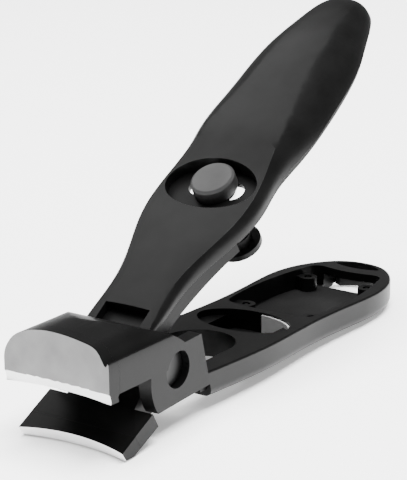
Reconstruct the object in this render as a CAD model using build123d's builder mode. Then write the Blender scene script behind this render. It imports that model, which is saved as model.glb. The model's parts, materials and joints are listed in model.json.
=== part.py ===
"""Lever nail clipper with a hinged lower jaw, a tray-shaped lower handle and a sliding latch.

Frame: the origin is on the flat underside of the lower handle, +X runs back along the handle, +Z is up.
The part is drawn as it rests, sprung open. Distances called "behind" run back from the hinge axis,
and heights called "above the hinge" run up from it.
"""
from build123d import *
import os
from math import cos, radians, sin

os.makedirs("parts", exist_ok=True)

# ---- driving dimensions, millimetres and degrees ----
hinge_forward = 36.0      # hinge axis, in front of the origin
hinge_above_tray = 2.3    # hinge axis, above the top of the tray
closing_angle = 29.4      # how far the lever turns from open to closed
closed_tilt = 1.2         # rise of the lever over the tray when closed

tray_depth = 3.7
tray_front = 5.0          # where the fork arms would end if the ears did not cut them short
tray_length = 58.2        # hinge axis to the rear end
tray_half_width = 8.6
tray_waist = 0.35         # how much narrower the tray is at its waist
tray_edge = 1.25          # rim beside the clippings pocket
base_thickness = 0.8
base_inset = 1.7
seat_gap = 0.05           # round a piece that drops into a seat

notch_half_width = 5.0
notch_length = 20.2
catch_hole_half_x = 4.2
catch_hole_half_y = 7.0
catch_ledge_half_y = 4.7  # opening between the two ledges that hold the latch foot
catch_ledge_top = 0.9     # ledges, below the top of the tray
catch_ledge_thickness = 0.6

pocket_front = 31.2
pocket_rear = 52.8
pocket_bow = 0.7          # how far the pocket's front edge bows
bar_width = 2.1           # bar between the pocket and the lanyard slot
bar_depth = 1.2
slot_half_width = 3.8
slot_length = 2.6

head_width = 16.0
head_rise = 7.1           # top of the head, above the hinge
head_shoulder = 2.6       # top of the head's straight sides, above the hinge
head_floor = 0.6          # underside of the head, above the hinge
head_rear = 1.5           # rear end of the head's shoulders, behind the hinge
ear_thickness = 1.9
ear_outer = 7.8
ear_reach = 5.5           # front of the ears, in front of the hinge
throat_half_width = 5.5   # gap between the head's shoulders
head_clear = 6.9          # radius kept open for the lever round the hinge

edge_forward = 14.0       # corners of the face, in front of the hinge
edge_drop = 0.36          # cutting edge, below the hinge
face_bow = 0.35           # how far the face curves back in the middle
edge_bow = 1.0            # the same, for the cutting edge
blade_thickness = 2.0
band_height = 1.4
band_depth = 0.25
bite_gap = 0.05           # between the two edges when closed
jaw_thickness = 2.2
lower_blade_length = 3.2
blade_pin_radius = 0.5
blade_pin_length = 3.0

pin_radius = 2.4
pin_recess = 1.0
running_gap = 0.05
bush_wall = 0.6
hub_radius = 4.1
washer_thickness = 0.6
spring_bay_half = 2.6
spring_wire = 0.7
spring_turns = 5

arm_length = 18.6
arm_thickness = 2.2
rim_height = 4.2          # lever's rim, above the hinge when closed
lever_length = 63.8
neck_half_width = 5.1
hole_half_width = 8.1     # lever's half width at its hole
bulb_half_width = 8.5
facet_height = 8.3        # top of the lever's bulb, above the hinge
bulb_length = 29.9        # rear end of the lever to the start of its bulb
liner_thickness = 1.0
liner_inset = 0.5
liner_end = 2.4           # rear end of the liner, in front of the lever's
lever_hole_at = 25.1
lever_hole_half_x = 4.3
lever_hole_half_y = 6.8
window_rear = 3.7
window_half_width = 3.4
lever_pocket_half = 4.4

latch_behind = 25.8
latch_travel = 2.6        # each way
knob_radius = 3.0
knob_top = 7.0
post_radius = 1.5
foot_radius = 3.2
foot_thickness = 0.8
foot_bottom = -5.4
guide_rim = 0.6           # how far the latch guide reaches past the lever's hole
guide_thickness = 0.7
leaf_thickness = 0.25
leaf_drop = 0.3           # top of the leaf, below the top of the tray
leaf_near = 0.4           # the leaf's end near the middle
leaf_width = 5.8

screw_radius = 0.6
screw_head_radius = 1.15
screw_head_depth = 0.5
boss_height = 2.0

# ---- values worked out from them ----
hinge_x = -hinge_forward
hinge_z = tray_depth + hinge_above_tray
jaw_angle = closing_angle
lever_angle = closing_angle + closed_tilt
ear_inner = ear_outer - ear_thickness
hub_half = ear_inner - washer_thickness - 2 * running_gap
screw_tip = base_thickness + boss_height - 0.1
ear_rear_top, ear_rear_low = (5.0, 3.2), (6.8, -4.0)
ear_slope = (ear_rear_low[0] - ear_rear_top[0]) / (ear_rear_top[1] - ear_rear_low[1])
ear_foot = ear_rear_low[0] + ear_slope * (ear_rear_low[1] + hinge_z + 1)
guide_floor = rim_height
guide_top = guide_floor + guide_thickness


def deck(angle: float, behind: float = 0.0, above: float = 0.0) -> Plane:
    """Plane facing up, turned about the hinge, with its origin that far behind and above it."""
    c, s = cos(radians(angle)), sin(radians(angle))
    origin = (hinge_x + behind * c - above * s, 0, hinge_z + behind * s + above * c)
    return Plane(origin, x_dir=(c, 0, s), z_dir=(-s, 0, c))


def side(angle: float, y: float = 0.0) -> Plane:
    """Plane seen from the side, its X behind the hinge and its Y above it."""
    c, s = cos(radians(angle)), sin(radians(angle))
    return Plane((hinge_x, y, hinge_z), x_dir=(c, 0, s), z_dir=(0, -1, 0))


def across(angle: float, behind: float) -> Plane:
    """Plane across the handle, its X towards +Y and its Y above the hinge."""
    c, s = cos(radians(angle)), sin(radians(angle))
    return Plane((hinge_x + behind * c, 0, hinge_z + behind * s), x_dir=(0, 1, 0), z_dir=(c, 0, s))


def ground(height: float = 0.0) -> Plane:
    """Level plane under the hinge, that high above the handle's underside."""
    return Plane((hinge_x, 0, height))


def save(piece: BuildPart, name: str) -> None:
    """Label a finished piece and write it."""
    piece.part.label = name
    export_step(piece.part, f"parts/{name}.step")


def handle_line(inset: float) -> None:
    """Closed outline of the lower handle, that far inside its edge."""
    w = tray_half_width - inset
    front = (tray_front, w - 1.0)
    points = [front, (21.0, w), (30.5, w - tray_waist), (40.0, w), (tray_length - 7.2, w - 0.5),
              (tray_length - 2.4 - 0.4 * inset, w * 0.62), (tray_length - inset, 0)]
    Spline(*points, tangents=((1, 0.08), (0, -1)))
    Line(front, (tray_front, 0))
    mirror(about=Plane.XZ)


def ear_line() -> None:
    """Side outline of the head's ear and strip, above and behind the hinge."""
    front = -edge_forward + blade_thickness
    low, notch = (-4.2, -4.5), (-ear_reach, head_floor)
    Polyline(notch, (front, head_floor), (front, head_shoulder), ear_rear_top, ear_rear_low, low)
    ThreePointArc(low, (0.2 - ear_reach, -2.2), notch)


def head_outline(bottom: float) -> None:
    """Arched front outline of the head and of the blade on it."""
    half = head_width / 2
    Polyline((-half, head_shoulder), (-half, bottom), (half, bottom), (half, head_shoulder))
    Spline((half, head_shoulder), (half - 0.5, head_shoulder + 1.8), (half - 1.5, head_rise - 1.45),
           (half - 3.6, head_rise - 0.45), (0, head_rise), (3.6 - half, head_rise - 0.45),
           (1.5 - half, head_rise - 1.45), (0.5 - half, head_shoulder + 1.8), (-half, head_shoulder),
           tangents=((0, 1), (0, -1)))


def leaf_line(gap: float) -> None:
    """Curved strip that lines the rear wall of the catch hole on one side, grown by a gap."""
    with Locations((latch_behind, 0)):
        Ellipse(catch_hole_half_x + gap, catch_hole_half_y + gap)
        Ellipse(catch_hole_half_x - leaf_thickness - gap, catch_hole_half_y - leaf_thickness - gap,
                mode=Mode.SUBTRACT)
    with Locations((latch_behind + catch_hole_half_x, -leaf_near - leaf_width / 2)):
        Rectangle(2 * catch_hole_half_x, leaf_width + 2 * gap, mode=Mode.INTERSECT)


# ---- lower handle ----
with BuildPart() as handle_tray:
    with BuildSketch(ground()):
        with BuildLine():
            handle_line(0)
        make_face()
    extrude(amount=tray_depth)
    fillet(handle_tray.edges().group_by(Axis.Z)[0].filter_by(GeomType.BSPLINE), 1.3)
    fillet(handle_tray.edges().group_by(Axis.Z)[-1].filter_by(GeomType.BSPLINE), 0.3)
    # the fork arms end against the sloping rear edges of the ears
    with BuildSketch(side(0)):
        with BuildLine():
            Polyline((0, ear_rear_top[1]), (ear_rear_top[0] + seat_gap, ear_rear_top[1]),
                     (ear_foot + seat_gap, -hinge_z - 1), (0, -hinge_z - 1), close=True)
        make_face()
    extrude(amount=head_width, both=True, mode=Mode.SUBTRACT)
    # a U between two fork arms
    with BuildSketch(ground()):
        with Locations((notch_length - notch_half_width, 0)):
            Circle(notch_half_width)
        with Locations(((notch_length - notch_half_width) / 2, 0)):
            Rectangle(notch_length - notch_half_width, 2 * notch_half_width)
    extrude(amount=tray_depth, mode=Mode.SUBTRACT)
    # catch hole, with two ledges that the latch foot slides under
    with BuildSketch(ground(tray_depth)):
        with Locations((latch_behind, 0)):
            Ellipse(catch_hole_half_x, catch_hole_half_y)
    extrude(amount=-catch_ledge_top, mode=Mode.SUBTRACT)
    with BuildSketch(ground(tray_depth - catch_ledge_top)):
        with Locations((latch_behind, 0)):
            Ellipse(catch_hole_half_x, catch_hole_half_y)
            Rectangle(2 * catch_hole_half_x, 2 * catch_ledge_half_y, mode=Mode.INTERSECT)
    extrude(amount=-catch_ledge_thickness, mode=Mode.SUBTRACT)
    undercut_half_y = foot_radius + latch_travel + 0.35
    with BuildSketch(ground(base_thickness)):
        with Locations((latch_behind, 0)):
            RectangleRounded(2 * catch_hole_half_x, 2 * undercut_half_y, 1.5)
    undercut_height = tray_depth - base_thickness - catch_ledge_top - catch_ledge_thickness
    extrude(amount=undercut_height, mode=Mode.SUBTRACT)
    with BuildSketch(ground(base_thickness)):
        leaf_line(seat_gap)
    extrude(amount=tray_depth, mode=Mode.SUBTRACT)
    # clippings pocket, open at the top
    side_y = tray_half_width - tray_edge
    with BuildSketch(ground(base_thickness)) as pocket_plan:
        with BuildLine():
            front = (pocket_front + pocket_bow, side_y - 0.5)
            rear = (pocket_rear + 1.0, side_y - 1.9)
            ThreePointArc((front[0], -front[1]), (pocket_front, 0), front)
            ThreePointArc(front, ((front[0] + rear[0]) / 2, side_y), rear)
            ThreePointArc(rear, (pocket_rear, 0), (rear[0], -rear[1]))
            ThreePointArc((rear[0], -rear[1]), ((front[0] + rear[0]) / 2, -side_y), (front[0], -front[1]))
        make_face()
        fillet(pocket_plan.vertices(), 1.6)
    extrude(amount=tray_depth, mode=Mode.SUBTRACT)
    # lanyard slot behind the bar, joined to the pocket under the bar
    slot_front = pocket_rear + bar_width
    with BuildSketch(ground()) as slot_plan:
        with BuildLine():
            slot_tip = slot_front + 0.9
            ThreePointArc((slot_tip, -slot_half_width), (slot_front, 0), (slot_tip, slot_half_width))
            slot_rear = slot_front + slot_length
            ThreePointArc((slot_tip, slot_half_width), (slot_rear, 0), (slot_tip, -slot_half_width))
        make_face()
        fillet(slot_plan.vertices(), 0.35)
    extrude(amount=tray_depth, mode=Mode.SUBTRACT)
    with BuildSketch(ground()):
        with Locations(((pocket_rear + slot_front) / 2, 0)):
            Rectangle(bar_width + 3.0, 2 * slot_half_width + 0.8)
    extrude(amount=tray_depth - bar_depth, mode=Mode.SUBTRACT)
    # seat for the base plate
    base_front, base_rear = notch_length + 0.5, pocket_rear - 0.2
    with BuildSketch(ground()) as base_seat:
        with BuildLine():
            handle_line(base_inset - seat_gap)
        make_face()
        with Locations(((base_front + base_rear) / 2, 0)):
            Rectangle(base_rear - base_front + 2 * seat_gap, head_width * 2, mode=Mode.INTERSECT)
    extrude(amount=base_thickness, mode=Mode.SUBTRACT)
    # corner bosses in the pocket that take the base screws
    boss_places = [(pocket_front + 3.4, side_y - 2.0), (pocket_front + 3.4, 2.0 - side_y),
                   (pocket_rear - 2.6, side_y - 2.4), (pocket_rear - 2.6, 2.4 - side_y)]
    with BuildSketch(ground(base_thickness)):
        with Locations(*boss_places):
            Circle(1.3)
        with Locations(*[(behind, y + (1.2 if y > 0 else -1.2)) for behind, y in boss_places]):
            Rectangle(1.8, 2.4)
    extrude(amount=boss_height)
    with BuildSketch(ground(base_thickness)):
        with Locations(*boss_places):
            Circle(screw_radius)
    extrude(amount=tray_depth, mode=Mode.SUBTRACT)
    # slots that take the tangs of the ears, and their rivet bores
    tang_top, tang_low, tang_rear = 3.2 - hinge_z, 1.1 - hinge_z, 15.0
    tang_front = 5.6
    tang_thickness = 1.0
    tang_middle = ear_inner + 0.5 * tang_thickness + 0.2
    for wall in (1, -1):
        with BuildSketch(side(0, wall * tang_middle)):
            with Locations(((tang_front + tang_rear) / 2, (tang_top + tang_low) / 2)):
                Rectangle(tang_rear - tang_front + 2 * seat_gap, tang_top - tang_low + 2 * seat_gap)
        extrude(amount=tang_thickness / 2 + seat_gap, both=True, mode=Mode.SUBTRACT)
        with BuildSketch(side(0, wall * notch_half_width)):
            with Locations((12.0, (tang_top + tang_low) / 2)):
                Circle(screw_radius)
        extrude(amount=-wall * 2.2, mode=Mode.SUBTRACT)
save(handle_tray, "handle_tray")

with BuildPart() as tray_base:
    with BuildSketch(ground()):
        with BuildLine():
            handle_line(base_inset)
        make_face()
        with Locations(((base_front + base_rear) / 2, 0)):
            Rectangle(base_rear - base_front, head_width * 2, mode=Mode.INTERSECT)
    extrude(amount=base_thickness)
    for place in boss_places:
        with Locations(Plane((hinge_x + place[0], place[1], 0), z_dir=(0, 0, -1))):
            CounterSinkHole(screw_radius, screw_head_radius, counter_sink_angle=90)
save(tray_base, "tray_base")

with BuildPart() as tray_screws:
    for place in boss_places:
        with BuildSketch(Plane((hinge_x + place[0], place[1], 0), x_dir=(1, 0, 0), z_dir=(0, -1, 0))):
            with BuildLine():
                Polyline((0, 0.02), (screw_head_radius - 0.03, 0.02), (screw_radius - 0.02, 0.57),
                         (screw_radius - 0.02, screw_tip - 0.3), (0.25, screw_tip), (0, screw_tip), close=True)
            make_face()
        revolve(axis=Axis((hinge_x + place[0], place[1], 0), (0, 0, 1)))
        with BuildSketch(ground(0.02)):
            with Locations(place):
                Rectangle(1.6, 0.25)
                Rectangle(0.25, 1.6)
        extrude(amount=0.3, mode=Mode.SUBTRACT)
save(tray_screws, "tray_screws")

# ---- head: upper jaw with two ears ----
blade_back = -edge_forward + blade_thickness
with BuildPart() as upper_jaw:
    with BuildSketch(across(0, blade_back)):
        with BuildLine():
            head_outline(head_floor)
        make_face()
    extrude(amount=head_rear - blade_back)
    # the top runs level, then slopes down to the rear ends of the shoulders
    with BuildSketch(side(0)):
        with BuildLine():
            Polyline((head_rear, 3.0), (head_rear, head_floor), (blade_back, head_floor),
                     (blade_back, head_rise + 0.3))
            Spline((blade_back, head_rise + 0.3), (-7.4, head_rise - 0.1), (-3.0, 5.6), (head_rear, 3.0),
                   tangents=((1, 0.02), (1, -0.8)))
        make_face()
    extrude(amount=head_width, both=True, mode=Mode.INTERSECT)
    # throat between the shoulders, for the lever and its hub
    with BuildSketch(side(0)):
        Circle(head_clear)
    extrude(amount=throat_half_width, both=True, mode=Mode.SUBTRACT)
    with BuildSketch(side(0)):
        Circle(hub_radius + 0.3)
        with Locations((-hub_radius, 0)):
            Rectangle(2 * hub_radius, 2 * head_floor + 1.0)
    extrude(amount=ear_inner, both=True, mode=Mode.SUBTRACT)
    for wall in (1, -1):
        with BuildSketch(side(0, wall * (ear_outer - ear_thickness / 2))):
            with BuildLine():
                ear_line()
            make_face()
        extrude(amount=ear_thickness / 2, both=True)
        with BuildSketch(side(0, wall * tang_middle)):
            with Locations(((tang_front + tang_rear) / 2, (tang_top + tang_low) / 2)):
                Rectangle(tang_rear - tang_front, tang_top - tang_low)
            with Locations((12.0, (tang_top + tang_low) / 2)):
                Circle(screw_radius, mode=Mode.SUBTRACT)
        extrude(amount=tang_thickness / 2, both=True)
    with BuildSketch(across(0, blade_back)):
        with Locations((head_width / 4, 2.2), (-head_width / 4, 2.2)):
            Circle(blade_pin_radius)
    extrude(amount=blade_pin_length / 2, mode=Mode.SUBTRACT)
    with BuildSketch(side(0)):
        Circle(pin_radius)
    extrude(amount=head_width, both=True, mode=Mode.SUBTRACT)
save(upper_jaw, "upper_jaw")

with BuildPart() as handle_rivets:
    for wall in (1, -1):
        with BuildSketch(side(0, wall * notch_half_width)):
            with Locations((12.0, (tang_top + tang_low) / 2)):
                Circle(screw_radius)
        extrude(amount=-wall * 2.2)
save(handle_rivets, "handle_rivets")


def bow_radius(bow: float) -> float:
    """Radius of an arc across the head's width with that rise."""
    return ((head_width / 2) ** 2 + bow**2) / (2 * bow)


with BuildPart() as upper_blade:
    with BuildSketch(across(0, blade_back)):
        with BuildLine():
            head_outline(-edge_drop)
        make_face()
    extrude(amount=-blade_thickness)
    # back of the edge is hollowed above the lower jaw
    with BuildSketch(side(0)):
        with BuildLine():
            edge_back = face_bow + edge_bow + band_depth - edge_forward + 0.25
            Polyline((blade_back + 0.01, -edge_drop - 1), (blade_back + 0.01, head_floor),
                     (blade_back - 0.3, head_floor - 0.3), (edge_back, -edge_drop), (edge_back, -edge_drop - 1),
                     close=True)
        make_face()
    extrude(amount=head_width, both=True, mode=Mode.SUBTRACT)
    with BuildSketch(deck(0, face_bow - edge_forward - bow_radius(face_bow), -edge_drop - 1)):
        Circle(bow_radius(face_bow))
    extrude(amount=3 * head_rise, mode=Mode.SUBTRACT)
    # bright band ground on the face, down to the bowed edge
    with BuildSketch(deck(0, band_depth + edge_bow - edge_forward - bow_radius(edge_bow), -edge_drop - 0.01)):
        Circle(bow_radius(edge_bow))
    with BuildSketch(deck(0, face_bow - edge_forward - bow_radius(face_bow), band_height - edge_drop)):
        Circle(bow_radius(face_bow))
    loft(mode=Mode.SUBTRACT)
    with BuildSketch(across(0, blade_back)):
        with Locations((head_width / 4, 2.2), (-head_width / 4, 2.2)):
            Circle(blade_pin_radius)
    extrude(amount=-0.8, mode=Mode.SUBTRACT)
save(upper_blade, "upper_blade")

with BuildPart() as upper_blade_pins:
    with BuildSketch(across(0, blade_back - 0.8)):
        with Locations((head_width / 4, 2.2), (-head_width / 4, 2.2)):
            Circle(blade_pin_radius)
    extrude(amount=0.8 + blade_pin_length / 2)
save(upper_blade_pins, "upper_blade_pins")

# ---- hinge ----
with BuildPart() as hinge_pin:
    with BuildSketch(side(0)):
        Circle(pin_radius)
    extrude(amount=ear_outer - pin_recess, both=True)
    chamfer(hinge_pin.edges().filter_by(GeomType.CIRCLE), 0.2)
save(hinge_pin, "hinge_pin")

with BuildPart() as hinge_bush:
    with BuildSketch(side(jaw_angle)):
        Circle(pin_radius + running_gap + bush_wall)
        Circle(pin_radius + running_gap, mode=Mode.SUBTRACT)
    extrude(amount=hub_half, both=True)
save(hinge_bush, "hinge_bush")

with BuildPart() as hinge_washers:
    for wall in (1, -1):
        with BuildSketch(side(jaw_angle, wall * (hub_half + running_gap / 2 + washer_thickness / 2))):
            Circle(hub_radius - 0.3)
            Circle(pin_radius + running_gap, mode=Mode.SUBTRACT)
        extrude(amount=washer_thickness / 2, both=True)
save(hinge_washers, "hinge_washers")

coil_radius = pin_radius + running_gap + bush_wall + 0.25 + spring_wire / 2
coil_half = spring_bay_half - spring_wire / 2 - 0.15
with BuildPart() as return_spring:
    with BuildLine() as coil:
        Helix(pitch=2 * coil_half / spring_turns, height=2 * coil_half, radius=coil_radius,
              center=(hinge_x, coil_half, hinge_z), direction=(0, -1, 0))
    with BuildSketch(Plane(coil.line @ 0, z_dir=coil.line % 0)):
        Circle(spring_wire / 2)
    sweep(path=coil.line, is_frenet=True)
save(return_spring, "return_spring")

# ---- lower jaw: plate, hub and arm in one ----
jaw_top_rear = -edge_drop - bite_gap - 0.4
plate_rear = -6.8
insert_back = lower_blade_length - edge_forward
edge_x = band_depth - edge_forward
with BuildPart() as lower_jaw:
    with BuildSketch(side(jaw_angle)):
        with BuildLine():
            Polyline((insert_back, -edge_drop - bite_gap - 0.15), (plate_rear, jaw_top_rear),
                     (plate_rear, jaw_top_rear - jaw_thickness), (insert_back, -edge_drop - jaw_thickness - 0.1),
                     close=True)
        make_face()
    extrude(amount=head_width / 2, both=True)
    with BuildSketch(side(jaw_angle)):
        with BuildLine():
            Polyline((plate_rear - 0.01, jaw_top_rear), (-3.9, 0.2), (0, hub_radius), (0, -hub_radius),
                     (-4.4, -3.9), (plate_rear - 0.01, jaw_top_rear - jaw_thickness), close=True)
        make_face()
        Circle(hub_radius)
    extrude(amount=hub_half, both=True)
    # arm under the lever's neck, on the lever's own angle
    arm_low = rim_height - arm_thickness
    with BuildSketch(deck(lever_angle, 0, arm_low)):
        with BuildLine():
            Spline((0, neck_half_width - 0.3), (9.0, neck_half_width - 0.1), (arm_length, hole_half_width - 1.3))
            Line((arm_length, hole_half_width - 1.3), (arm_length, 0))
            Line((0, 0), (0, neck_half_width - 0.3))
            mirror(about=Plane.XZ)
        make_face()
    extrude(amount=arm_thickness)
    with BuildSketch(side(lever_angle)):
        with BuildLine():
            Polyline((-2.5, 2.6), (-2.5, rim_height), (4.0, rim_height), (4.0, 2.0), (2.0, 0), (-2.5, 0),
                     close=True)
        make_face()
    extrude(amount=neck_half_width - 0.3, both=True)
    # bores, spring bay and screw holes
    with BuildSketch(side(jaw_angle)):
        Circle(pin_radius + running_gap + bush_wall)
    extrude(amount=hub_half, both=True, mode=Mode.SUBTRACT)
    with BuildSketch(side(jaw_angle)):
        Circle(coil_radius + spring_wire / 2 + 0.25)
    extrude(amount=spring_bay_half, both=True, mode=Mode.SUBTRACT)
    arm_screw_places = [(8.6, 0.0), (15.4, 0.0)]
    with BuildSketch(deck(lever_angle, 0, arm_low)):
        with Locations(*arm_screw_places):
            Circle(screw_radius)
    extrude(amount=arm_thickness, mode=Mode.SUBTRACT)
    with BuildSketch(deck(lever_angle, 0, arm_low)):
        with Locations(*arm_screw_places):
            Circle(screw_head_radius + 0.05)
    extrude(amount=screw_head_depth, mode=Mode.SUBTRACT)
    pin_rise = -edge_drop - jaw_thickness / 2
    with BuildSketch(across(jaw_angle, insert_back)):
        with Locations((head_width / 4, pin_rise), (-head_width / 4, pin_rise)):
            Circle(blade_pin_radius)
    extrude(amount=blade_pin_length / 2, mode=Mode.SUBTRACT)
save(lower_jaw, "lower_jaw")

with BuildPart() as lower_blade:
    with BuildSketch(side(jaw_angle)):
        with BuildLine():
            Polyline((edge_x, -edge_drop - bite_gap), (insert_back, -edge_drop - bite_gap - 0.15),
                     (insert_back, -edge_drop - jaw_thickness - 0.1), (edge_x + 1.5, -edge_drop - jaw_thickness),
                     (edge_x + 0.1, -edge_drop - band_height), close=True)
        make_face()
    extrude(amount=head_width / 2, both=True)
    with BuildSketch(deck(jaw_angle, edge_x + edge_bow - bow_radius(edge_bow), -edge_drop - jaw_thickness - 1)):
        Circle(bow_radius(edge_bow))
    extrude(amount=jaw_thickness + 2, mode=Mode.SUBTRACT)
    with BuildSketch(across(jaw_angle, insert_back)):
        with Locations((head_width / 4, pin_rise), (-head_width / 4, pin_rise)):
            Circle(blade_pin_radius)
    extrude(amount=-blade_pin_length / 3, mode=Mode.SUBTRACT)
save(lower_blade, "lower_blade")

with BuildPart() as lower_blade_pins:
    with BuildSketch(across(jaw_angle, insert_back - blade_pin_length / 3)):
        with Locations((head_width / 4, pin_rise), (-head_width / 4, pin_rise)):
            Circle(blade_pin_radius)
    extrude(amount=blade_pin_length * 5 / 6)
save(lower_blade_pins, "lower_blade_pins")

# ---- lever ----
# behind the hinge, half width at the rim, half width of the top, height of the top's edge
bulb_start = lever_length - bulb_length
lever_sections = [
    (-2.0, neck_half_width - 0.4, neck_half_width - 1.0, 4.9),
    (3.7, neck_half_width, neck_half_width - 0.6, 5.5),
    (11.2, neck_half_width + 0.5, neck_half_width - 0.2, 6.0),
    (17.0, hole_half_width - 0.8, hole_half_width - 1.5, 6.2),
    (lever_hole_at - 1.0, hole_half_width, hole_half_width - 0.8, 6.3),
    (bulb_start - 5.0, hole_half_width - 0.4, hole_half_width - 1.4, 6.7),
    (bulb_start, bulb_half_width - 0.3, 6.0, facet_height - 0.8),
    (bulb_start + 7.6, bulb_half_width, 4.5, facet_height - 0.35),
    (bulb_start + 14.6, bulb_half_width - 0.4, 3.7, facet_height),
    (bulb_start + 20.5, bulb_half_width - 1.5, 3.2, facet_height - 0.2),
    (bulb_start + 26.0, bulb_half_width - 3.2, 2.6, facet_height - 1.0),
    (lever_length - 1.2, bulb_half_width - 4.5, 2.2, facet_height - 1.7),
    (lever_length, bulb_half_width - 6.0, 1.4, rim_height + 1.7),
]
with BuildPart() as lever_shell:
    for behind, rim, top, height in lever_sections:
        with BuildSketch(across(lever_angle, behind)):
            with BuildLine():
                Line((-rim, rim_height), (rim, rim_height))
                Spline((rim, rim_height), ((rim * 0.7 + top * 0.3), (rim_height + height) / 2 + 0.3), (top, height))
                ThreePointArc((top, height), (0, height + 0.25), (-top, height))
                Spline((-top, height), (-(rim * 0.7 + top * 0.3), (rim_height + height) / 2 + 0.3),
                       (-rim, rim_height))
            make_face()
    loft()
    with BuildSketch(deck(lever_angle, 0, rim_height)):
        with Locations((lever_hole_at, 0)):
            Ellipse(lever_hole_half_x, lever_hole_half_y)
        with Locations((window_rear - 5.0, 0)):
            Rectangle(10.0, 2 * window_half_width)
    extrude(amount=facet_height, mode=Mode.SUBTRACT)
    # hollows under the bulb, between ribs that take the liner screws
    liner_screw_places = [(bulb_start - 2.4, 0.0), (bulb_start + 11.9, 0.0), (lever_length - 6.2, 0.0)]
    with BuildSketch(deck(lever_angle, 0, rim_height)):
        with Locations((bulb_start + 5.0, 0), (bulb_start + 18.6, 0)):
            RectangleRounded(10.0, 2 * lever_pocket_half, 2.0)
    extrude(amount=facet_height - rim_height - 2.0, mode=Mode.SUBTRACT)
    with BuildSketch(deck(lever_angle, 0, rim_height)):
        with Locations(*liner_screw_places):
            Circle(screw_radius)
    extrude(amount=2.4, mode=Mode.SUBTRACT)
    with BuildSketch(deck(lever_angle, 0, rim_height)):
        with Locations(*arm_screw_places):
            Circle(screw_radius)
    extrude(amount=1.6, mode=Mode.SUBTRACT)
    # groove for the latch guide
    with BuildSketch(deck(lever_angle, 0, rim_height)):
        with Locations((lever_hole_at, 0)):
            Ellipse(lever_hole_half_x + guide_rim + seat_gap, lever_hole_half_y + guide_rim + seat_gap)
    extrude(amount=guide_thickness + seat_gap, mode=Mode.SUBTRACT)
save(lever_shell, "lever_shell")

with BuildPart() as latch_guide:
    with BuildSketch(deck(lever_angle, 0, guide_floor)):
        with Locations((lever_hole_at, 0)):
            Ellipse(lever_hole_half_x + guide_rim, lever_hole_half_y + guide_rim)
        with Locations((latch_behind, 0)):
            SlotOverall(2 * (latch_travel + post_radius + running_gap), 2 * (post_radius + running_gap),
                        rotation=90, mode=Mode.SUBTRACT)
    extrude(amount=guide_thickness)
save(latch_guide, "latch_guide")

with BuildPart() as lever_liner:
    liner_front = arm_length + 0.3
    with BuildSketch(deck(lever_angle, 0, rim_height - liner_thickness)):
        with BuildLine():
            rim_points = [(behind, rim - liner_inset) for behind, rim, _, _ in lever_sections[4:-2]]
            Spline((liner_front, hole_half_width - 1.2), *rim_points, (lever_length - liner_end, 0),
                   tangents=((1, 0.25), (0, -1)))
            Line((liner_front, 0), (liner_front, hole_half_width - 1.2))
            mirror(about=Plane.XZ)
        make_face()
        with Locations((lever_hole_at, 0)):
            Ellipse(lever_hole_half_x, lever_hole_half_y, mode=Mode.SUBTRACT)
        with Locations(*liner_screw_places):
            Circle(screw_radius, mode=Mode.SUBTRACT)
    extrude(amount=liner_thickness)
    with BuildSketch(deck(lever_angle, 0, rim_height - liner_thickness)):
        with Locations(*liner_screw_places):
            Circle(screw_head_radius + 0.05)
    extrude(amount=screw_head_depth, mode=Mode.SUBTRACT)
save(lever_liner, "lever_liner")


def cap_screws(places: list, low: float, length: float) -> BuildPart:
    """Flat-headed screws driven up into the lever, with a cross cut in each head."""
    with BuildPart() as screws:
        with BuildSketch(deck(lever_angle, 0, low)):
            with Locations(*places):
                Circle(screw_head_radius)
        extrude(amount=screw_head_depth)
        with BuildSketch(deck(lever_angle, 0, low)):
            with Locations(*places):
                Circle(screw_radius)
        extrude(amount=length)
        with BuildSketch(deck(lever_angle, 0, low)):
            with Locations(*places):
                Rectangle(1.6, 0.25)
                Rectangle(0.25, 1.6)
        extrude(amount=0.3, mode=Mode.SUBTRACT)
    return screws


liner_screws = cap_screws(liner_screw_places, rim_height - liner_thickness, liner_thickness + 2.2)
save(liner_screws, "liner_screws")
arm_screws = cap_screws(arm_screw_places, arm_low, arm_thickness + 1.4)
save(arm_screws, "arm_screws")

# ---- latch ----
knob_floor = guide_top + running_gap
clip_top = guide_floor - running_gap
clip_thickness = 0.5
with BuildPart() as latch_knob:
    with BuildSketch(deck(lever_angle, latch_behind, knob_floor)):
        Circle(knob_radius)
    extrude(amount=knob_top - knob_floor)
    chamfer(latch_knob.faces().sort_by(Axis((0, 0, 0), deck(lever_angle).z_dir))[-1].edges(), 0.3)
    with BuildSketch(deck(lever_angle, latch_behind, knob_floor)):
        Circle(post_radius)
    extrude(amount=1.8, mode=Mode.SUBTRACT)
save(latch_knob, "latch_knob")

with BuildPart() as latch_post:
    with BuildSketch(deck(lever_angle, latch_behind, foot_bottom + 0.3)):
        Circle(post_radius)
    extrude(amount=knob_floor + 1.8 - foot_bottom - 0.3)
    with BuildSketch(deck(lever_angle, latch_behind, clip_top - clip_thickness - 0.02)):
        Circle(post_radius)
        Circle(post_radius - 0.35, mode=Mode.SUBTRACT)
    extrude(amount=clip_thickness + 0.02, mode=Mode.SUBTRACT)
save(latch_post, "latch_post")

with BuildPart() as latch_clip:
    with BuildSketch(deck(lever_angle, latch_behind, clip_top - clip_thickness)):
        Circle(post_radius + 0.9)
        Circle(post_radius - 0.33, mode=Mode.SUBTRACT)
        with Locations((post_radius + 0.5, 0)):
            Rectangle(2 * post_radius, 1.5, mode=Mode.SUBTRACT)
    extrude(amount=clip_thickness - 0.02)
save(latch_clip, "latch_clip")

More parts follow.
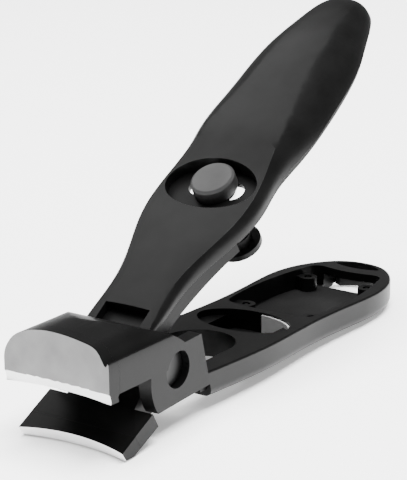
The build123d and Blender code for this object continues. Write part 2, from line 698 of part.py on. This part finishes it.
with BuildPart() as latch_foot:
    with BuildSketch(deck(lever_angle, latch_behind, foot_bottom)):
        Circle(foot_radius)
    extrude(amount=foot_thickness)
    with BuildSketch(deck(lever_angle, latch_behind, foot_bottom)):
        Circle(post_radius + 0.5)
    extrude(amount=foot_thickness + 1.2)
    with BuildSketch(deck(lever_angle, latch_behind, foot_bottom + 0.3)):
        Circle(post_radius)
    extrude(amount=foot_thickness + 1.2, mode=Mode.SUBTRACT)
save(latch_foot, "latch_foot")

# ---- catch leaf in the tray ----
with BuildPart() as catch_leaf:
    with BuildSketch(ground(base_thickness)):
        leaf_line(0)
    extrude(amount=tray_depth - base_thickness - leaf_drop)
save(catch_leaf, "catch_leaf")
print("pieces written")
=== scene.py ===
"""Nail clipper with a wide hinged jaw, a tray handle and a sliding latch.

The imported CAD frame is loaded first, and the looks are added to it.
"""
import json
import logging
from dataclasses import dataclass, field
from enum import Enum
from math import cos, radians, sin

import bmesh
import bpy
from mathutils import Matrix, Vector


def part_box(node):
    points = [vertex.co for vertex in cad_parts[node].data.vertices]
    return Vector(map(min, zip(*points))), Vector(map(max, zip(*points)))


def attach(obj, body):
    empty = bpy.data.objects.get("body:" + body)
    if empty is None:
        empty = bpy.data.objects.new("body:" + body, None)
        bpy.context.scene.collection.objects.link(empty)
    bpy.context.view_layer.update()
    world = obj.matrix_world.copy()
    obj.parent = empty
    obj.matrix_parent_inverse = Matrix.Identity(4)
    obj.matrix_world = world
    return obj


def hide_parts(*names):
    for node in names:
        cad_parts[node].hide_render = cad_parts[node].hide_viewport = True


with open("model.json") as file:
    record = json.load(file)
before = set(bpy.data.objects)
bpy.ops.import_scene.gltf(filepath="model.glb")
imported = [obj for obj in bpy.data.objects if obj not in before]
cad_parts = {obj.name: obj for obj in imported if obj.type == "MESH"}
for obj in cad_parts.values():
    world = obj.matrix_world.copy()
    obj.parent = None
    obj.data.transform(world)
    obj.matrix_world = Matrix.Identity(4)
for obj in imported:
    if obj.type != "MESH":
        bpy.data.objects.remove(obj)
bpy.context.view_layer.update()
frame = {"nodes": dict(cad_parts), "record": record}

LOG = logging.getLogger("clipper")
MM = 0.001
MERGE = 1e-6          # vertices closer than this are one, metres
FLAT = radians(0.5)   # faces that meet at less than this are one face
CREASE = radians(32)  # edges sharper than this are softened
GROUND_FACING = 0.8   # cosine within which a face counts as ground
FINE_NOISE = 9000.0   # scale of the surface relief, per metre
BROAD_NOISE = 260.0   # scale of the shift in colour, per metre
RELIEF_DEPTH = 0.04   # height of the surface relief, millimetres
FLOOR_SIZE = 4.0      # half the floor's side, metres
FLOOR_GAP = 0.2       # floor, below the lowest corner, millimetres
TRAY_CURVE = 3.0      # where the tray's rear meets the floor, in front of its end, millimetres
WHITE = (1.0, 1.0, 1.0, 1.0)
BODY_OF = {node: body for body, nodes in frame["record"]["behaviour"]["bodies"].items() for node in nodes}


class Grain(Enum):
    """How the fine surface relief of a finish runs."""

    SPRAYED = "sprayed"
    BRUSHED_ACROSS = "brushed_across"
    BRUSHED_ALONG = "brushed_along"
    CAST = "cast"


@dataclass(frozen=True)
class Finish:
    """One surface finish.

    Attributes:
        name: Material name.
        dark: Base colour in the hollows of the finish, linear grey.
        light: Base colour on its high spots, linear grey.
        metallic: 1 for bare metal, 0 for a coating or plastic.
        rough: Lowest and highest roughness over the surface.
        grain: How the relief runs.
        relief: Bump strength.
        shine: Specular level of the surface, 0.5 for plain plastic.
        warm: How far red stands over blue in the base colour.
    """

    name: str
    dark: float
    light: float
    metallic: float
    rough: tuple[float, float]
    grain: Grain
    relief: float = 0.1
    shine: float = 0.5
    warm: float = 0.0

    def build(self) -> bpy.types.Material:
        """Make the node material of this finish.

        Returns:
            The finished material.
        """
        material = bpy.data.materials.new(self.name)
        material.use_nodes = True
        tree = material.node_tree
        shader = tree.nodes["Principled BSDF"]
        shader.inputs["Metallic"].default_value = self.metallic
        shader.inputs["Specular IOR Level"].default_value = self.shine
        place = tree.nodes.new("ShaderNodeTexCoord")
        stretch = tree.nodes.new("ShaderNodeMapping")
        stretch.inputs["Scale"].default_value = {
            Grain.SPRAYED: (1.0, 1.0, 1.0),
            Grain.BRUSHED_ACROSS: (1.0, 0.04, 1.0),
            Grain.BRUSHED_ALONG: (0.04, 1.0, 1.0),
            Grain.CAST: (0.6, 0.6, 0.6),
        }[self.grain]
        tree.links.new(place.outputs["Object"], stretch.inputs["Vector"])
        fine = self._noise(tree, stretch, FINE_NOISE, 3.0)
        broad = self._noise(tree, stretch, BROAD_NOISE, 4.0)
        tint = tree.nodes.new("ShaderNodeValToRGB")
        tint.color_ramp.elements[0].position = 0.3
        tint.color_ramp.elements[1].position = 0.7
        for stop, grey in zip(tint.color_ramp.elements, (self.dark, self.light)):
            stop.color = (grey * (1 + self.warm), grey, grey * (1 - self.warm), 1.0)
        tree.links.new(broad.outputs["Fac"], tint.inputs["Fac"])
        tree.links.new(tint.outputs["Color"], shader.inputs["Base Color"])
        spread = tree.nodes.new("ShaderNodeMapRange")
        spread.inputs["To Min"].default_value = self.rough[0]
        spread.inputs["To Max"].default_value = self.rough[1]
        tree.links.new(fine.outputs["Fac"], spread.inputs["Value"])
        tree.links.new(spread.outputs["Result"], shader.inputs["Roughness"])
        bump = tree.nodes.new("ShaderNodeBump")
        bump.inputs["Strength"].default_value = self.relief
        bump.inputs["Distance"].default_value = RELIEF_DEPTH * MM
        tree.links.new(fine.outputs["Fac"], bump.inputs["Height"])
        tree.links.new(bump.outputs["Normal"], shader.inputs["Normal"])
        return material

    @staticmethod
    def _noise(
        tree: bpy.types.NodeTree, source: bpy.types.Node, scale: float, detail: float
    ) -> bpy.types.Node:
        """Add a noise texture fed by a mapping node.

        Args:
            tree: Node tree to add to.
            source: Mapping node.
            scale: Texture scale, per metre.
            detail: Octaves.

        Returns:
            The noise node.
        """
        noise = tree.nodes.new("ShaderNodeTexNoise")
        noise.inputs["Scale"].default_value = scale
        noise.inputs["Detail"].default_value = detail
        tree.links.new(source.outputs["Vector"], noise.inputs["Vector"])
        return noise


BLACK_SATIN = Finish("black_satin", 0.0020, 0.0036, 0.0, (0.30, 0.42), Grain.SPRAYED, 0.06, 0.18)
BLACK_STEEL = Finish("black_steel", 0.0018, 0.0034, 0.0, (0.34, 0.46), Grain.CAST, 0.10, 0.13)
# Lighter, shinier black for the softened edges: a painted highlight along them.
BLACK_EDGE_PAINTED_HIGHLIGHT = Finish("black_edge_painted_highlight", 0.0120, 0.0240, 0.0, (0.24, 0.36), Grain.SPRAYED, 0.05, 0.50)
BASE_GREY = Finish("base_grey", 0.0060, 0.0110, 0.0, (0.42, 0.55), Grain.CAST, 0.12, 0.20)
BLADE_STEEL = Finish("blade_steel", 0.13, 0.18, 0.80, (0.40, 0.52), Grain.BRUSHED_ALONG, 0.14)
# Cutting bands: bare ground steel, given a near-white, mostly non-metallic base colour that is a painted
# highlight in place of their lit reflection.
GROUND_STEEL_AND_PAINTED_HIGHLIGHT = Finish("ground_steel_and_painted_highlight", 0.90, 0.96, 0.25, (0.35, 0.45), Grain.BRUSHED_ALONG, 0.05)
LEAF_STEEL = Finish("leaf_steel", 0.78, 0.90, 0.35, (0.30, 0.42), Grain.BRUSHED_ACROSS, 0.06)
SPRING_STEEL = Finish("spring_steel", 0.62, 0.74, 1.0, (0.14, 0.24), Grain.BRUSHED_ACROSS, 0.06)
PIN_STEEL = Finish("pin_steel", 0.020, 0.034, 1.0, (0.30, 0.42), Grain.SPRAYED, 0.1)
SCREW_STEEL = Finish("screw_steel", 0.03, 0.05, 1.0, (0.28, 0.40), Grain.SPRAYED, 0.1)
KNOB_GREY = Finish("knob_grey", 0.026, 0.038, 0.3, (0.40, 0.50), Grain.SPRAYED, 0.1)
BUSH_BRASS = Finish("bush_brass", 0.36, 0.44, 1.0, (0.25, 0.38), Grain.SPRAYED, 0.08, warm=0.35)

NODE_FINISHES: dict[str, Finish] = {
    "handle_tray": BLACK_SATIN,
    "tray_base": BASE_GREY,
    "tray_screws": SCREW_STEEL,
    "upper_jaw": BLACK_STEEL,
    "handle_rivets": PIN_STEEL,
    "upper_blade": BLACK_STEEL,
    "upper_blade_pins": SPRING_STEEL,
    "hinge_pin": PIN_STEEL,
    "return_spring": PIN_STEEL,
    "catch_leaf": LEAF_STEEL,
    "lower_jaw": BLACK_STEEL,
    "lower_blade": BLACK_STEEL,
    "lower_blade_pins": SPRING_STEEL,
    "hinge_bush": BUSH_BRASS,
    "hinge_washers": BASE_GREY,
    "lever_shell": BLACK_SATIN,
    "lever_liner": BASE_GREY,
    "liner_screws": SCREW_STEEL,
    "arm_screws": SCREW_STEEL,
    "latch_guide": BLACK_STEEL,
    "latch_knob": KNOB_GREY,
    "latch_post": PIN_STEEL,
    "latch_clip": SPRING_STEEL,
    "latch_foot": BLACK_STEEL,
}


@dataclass(frozen=True)
class Ground:
    """Faces that were ground after blackening.

    Attributes:
        finish: Their finish.
        facing: The way they face, in the row frame.
        below: Only faces whose middle is lower than this count, metres.
    """

    finish: Finish
    facing: tuple[float, float, float]
    below: float = 1.0

    def takes(self, face: bmesh.types.BMFace) -> bool:
        """Whether a face is one of these.

        Args:
            face: Face of the merged copy.

        Returns:
            True for a ground face.
        """
        turned = face.normal.dot(Vector(self.facing).normalized()) > GROUND_FACING
        return turned and face.calc_center_median().z < self.below


@dataclass(frozen=True)
class Skin:
    """A CAD node taken over as a merged copy with softened edges.

    Attributes:
        node: CAD node that it stands for.
        soften: Width of the softened edges, millimetres.
        edge: Finish of the softened edges, or None for the node's own. A lighter edge finish is a painted
            highlight along those edges.
        ground: Its ground faces. A later entry wins over an earlier one.
    """

    node: str
    soften: float
    edge: Finish | None = None
    ground: tuple["Ground", ...] = ()


SKINS: tuple[Skin, ...] = (
    Skin("handle_tray", 0.12, BLACK_EDGE_PAINTED_HIGHLIGHT),
    Skin("upper_jaw", 0.12, BLACK_EDGE_PAINTED_HIGHLIGHT),
    Skin("upper_blade", 0.05, None, (
        Ground(BLADE_STEEL, (-1.0, 0.0, 0.0)),
        # The upper cutting band: ground steel, its near-white colour partly a painted highlight.
        Ground(GROUND_STEEL_AND_PAINTED_HIGHLIGHT, (-0.98, 0.0, -0.17), 0.00695),
    )),
    Skin("lower_jaw", 0.08, BLACK_EDGE_PAINTED_HIGHLIGHT),
    # The lower cutting band: ground steel, its near-white colour partly a painted highlight.
    Skin("lower_blade", 0.05, None, (Ground(GROUND_STEEL_AND_PAINTED_HIGHLIGHT, (-0.87, 0.0, -0.49)),)),
    Skin("lever_shell", 0.14, BLACK_EDGE_PAINTED_HIGHLIGHT),
    Skin("latch_knob", 0.08),
)


@dataclass
class Dresser:
    """Gives every carried-over CAD node its finish.

    Attributes:
        made: Materials made so far, by finish name.
    """

    made: dict[str, bpy.types.Material] = field(default_factory=dict)

    def material(self, finish: Finish) -> bpy.types.Material:
        """The one material of a finish, made when first asked for.

        Args:
            finish: The finish.

        Returns:
            Its material.
        """
        if finish.name not in self.made:
            self.made[finish.name] = finish.build()
        return self.made[finish.name]

    def dress_nodes(self) -> None:
        """Assign the listed finish to every CAD node."""
        for name, node in frame["nodes"].items():
            node.material_slots[0].material = self.material(NODE_FINISHES[name])
            LOG.info("%s in %s", name, NODE_FINISHES[name].name)


    def skin(self, plan: Skin) -> None:
        """Put a merged copy with softened edges in the place of a CAD node.

        Args:
            plan: What to take over and how.
        """
        node = frame["nodes"][plan.node]
        mesh = node.data.copy()
        mesh.name = f"{plan.node}_skin"
        mesh.materials.clear()
        shape = bmesh.new()
        shape.from_mesh(mesh)
        bmesh.ops.remove_doubles(shape, verts=shape.verts, dist=MERGE)
        bmesh.ops.dissolve_limit(shape, angle_limit=FLAT, verts=shape.verts, edges=shape.edges)
        shape.normal_update()
        for face in shape.faces:
            face.smooth = True
            face.material_index = 0
            for index, ground in enumerate(plan.ground, start=2):
                if ground.takes(face):
                    face.material_index = index
        for edge in shape.edges:
            edge.smooth = edge.calc_face_angle(0.0) < CREASE
        shape.to_mesh(mesh)
        shape.free()
        own = NODE_FINISHES[plan.node]
        for finish in (own, plan.edge or own, *(ground.finish for ground in plan.ground)):
            mesh.materials.append(self.material(finish))
        piece = bpy.data.objects.new(mesh.name, mesh)
        bpy.context.collection.objects.link(piece)
        bevel = piece.modifiers.new("softened_edges", "BEVEL")
        bevel.width = plan.soften * MM
        bevel.segments = 2
        bevel.limit_method = "ANGLE"
        bevel.angle_limit = CREASE
        # When an edge finish is given, the bevel faces take it: a painted highlight along the softened
        # edges.
        bevel.material = 1 if plan.edge else -1
        bevel.use_clamp_overlap = True
        weigh = piece.modifiers.new("even_normals", "WEIGHTED_NORMAL")
        weigh.keep_sharp = True
        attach(piece, BODY_OF[plan.node])
        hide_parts(plan.node)

    def skins(self) -> None:
        """Make every planned skin."""
        for plan in SKINS:
            self.skin(plan)


@dataclass
class Studio:
    """Floor, lights and camera.

    Attributes:
        azimuth: Camera azimuth, degrees.
        elevation: Camera elevation, degrees.
        roll: Camera roll, degrees.
        aim: Point that the camera looks at, metres.
        distance: Camera distance from that point, metres.
        lens: Focal length on a 36 mm sensor, millimetres.
    """

    azimuth: float = -54.92
    elevation: float = 16.15
    roll: float = -0.43
    aim: tuple[float, float, float] = (-0.0267, -0.0052, 0.0198)
    distance: float = 0.2493
    lens: float = 150.0

    def camera(self) -> None:
        """Place the camera at its angle round the aim point."""
        data = bpy.data.cameras.new("camera")
        data.lens = self.lens
        data.sensor_fit = "AUTO"
        data.sensor_width = 36.0
        data.clip_start = 0.01
        camera = bpy.data.objects.new("camera", data)
        a, e, r = radians(self.azimuth), radians(self.elevation), radians(self.roll)
        back = Vector((sin(a) * cos(e), -cos(a) * cos(e), sin(e)))
        right = Vector((cos(a), sin(a), 0.0))
        up = back.cross(right)
        right, up = cos(r) * right + sin(r) * up, cos(r) * up - sin(r) * right
        turn = Matrix((right, up, back)).transposed().to_4x4()
        camera.matrix_world = Matrix.Translation(Vector(self.aim) + self.distance * back) @ turn
        bpy.context.collection.objects.link(camera)
        bpy.context.scene.camera = camera

    def floor(self) -> None:
        """A pale floor under the lowest points of the jaw and the tray's rear."""
        low_front = Vector((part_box("lower_blade")[0][0], 0.0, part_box("lower_blade")[0][2]))
        low_rear = Vector((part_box("handle_tray")[1][0] - TRAY_CURVE * MM, 0.0, 0.0))
        slope = low_rear - low_front
        mesh = bpy.data.meshes.new("floor")
        shape = bmesh.new()
        bmesh.ops.create_grid(shape, x_segments=1, y_segments=1, size=FLOOR_SIZE)
        tilt = slope.to_track_quat("X", "Z").to_matrix().to_4x4()
        place = Matrix.Translation(low_front - Vector((0, 0, FLOOR_GAP * MM))) @ tilt
        bmesh.ops.transform(shape, matrix=place, verts=shape.verts)
        shape.to_mesh(mesh)
        shape.free()
        floor = bpy.data.objects.new("floor", mesh)
        bpy.context.collection.objects.link(floor)
        paper = bpy.data.materials.new("paper")
        paper.use_nodes = True
        shader = paper.node_tree.nodes["Principled BSDF"]
        shader.inputs["Base Color"].default_value = (0.86, 0.86, 0.86, 1.0)
        shader.inputs["Roughness"].default_value = 0.9
        shader.inputs["Specular IOR Level"].default_value = 0.1
        shader.inputs["Emission Color"].default_value = WHITE
        shader.inputs["Emission Strength"].default_value = 0.40
        mesh.materials.append(paper)

    def lamp(self, name: str, way: tuple[float, float, float], far: float, size: float, power: float,
             mirrored: bool = True) -> None:
        """Hang a square soft light that faces the aim point.

        Args:
            name: Light name.
            way: Direction from the aim point.
            far: Distance from it, metres.
            size: Side of the square, metres.
            power: Watts.
            mirrored: Whether glossy surfaces mirror it.
        """
        data = bpy.data.lights.new(name, "AREA")
        data.shape = "SQUARE"
        data.size = size
        data.energy = power
        lamp = bpy.data.objects.new(name, data)
        lamp.visible_glossy = mirrored
        direction = Vector(way).normalized()
        turn = direction.to_track_quat("Z", "Y").to_matrix().to_4x4()
        lamp.matrix_world = Matrix.Translation(Vector(self.aim) + far * direction) @ turn
        bpy.context.collection.objects.link(lamp)

    def lights(self) -> None:
        """A broad key over the lever's top, a weak side fill and a pale surround."""
        self.lamp("key", (0.10, 0.50, 0.86), 0.6, 0.45, 1.6)
        self.lamp("wash", (0.0, -0.1, 1.0), 0.7, 0.6, 34.0, mirrored=False)
        self.lamp("front_fill", (-0.85, 0.1, 0.6), 0.9, 0.5, 1.2)
        world = bpy.data.worlds.new("surround")
        world.use_nodes = True
        world.node_tree.nodes["Background"].inputs["Color"].default_value = WHITE
        world.node_tree.nodes["Background"].inputs["Strength"].default_value = 0.26
        bpy.context.scene.world = world

    def build(self) -> None:
        """Set up the whole studio."""
        self.camera()
        self.floor()
        self.lights()


def main() -> None:
    """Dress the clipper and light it."""
    logging.basicConfig(level=logging.INFO)
    dresser = Dresser()
    dresser.dress_nodes()
    dresser.skins()
    Studio().build()


if __name__ == "__main__":
    main()
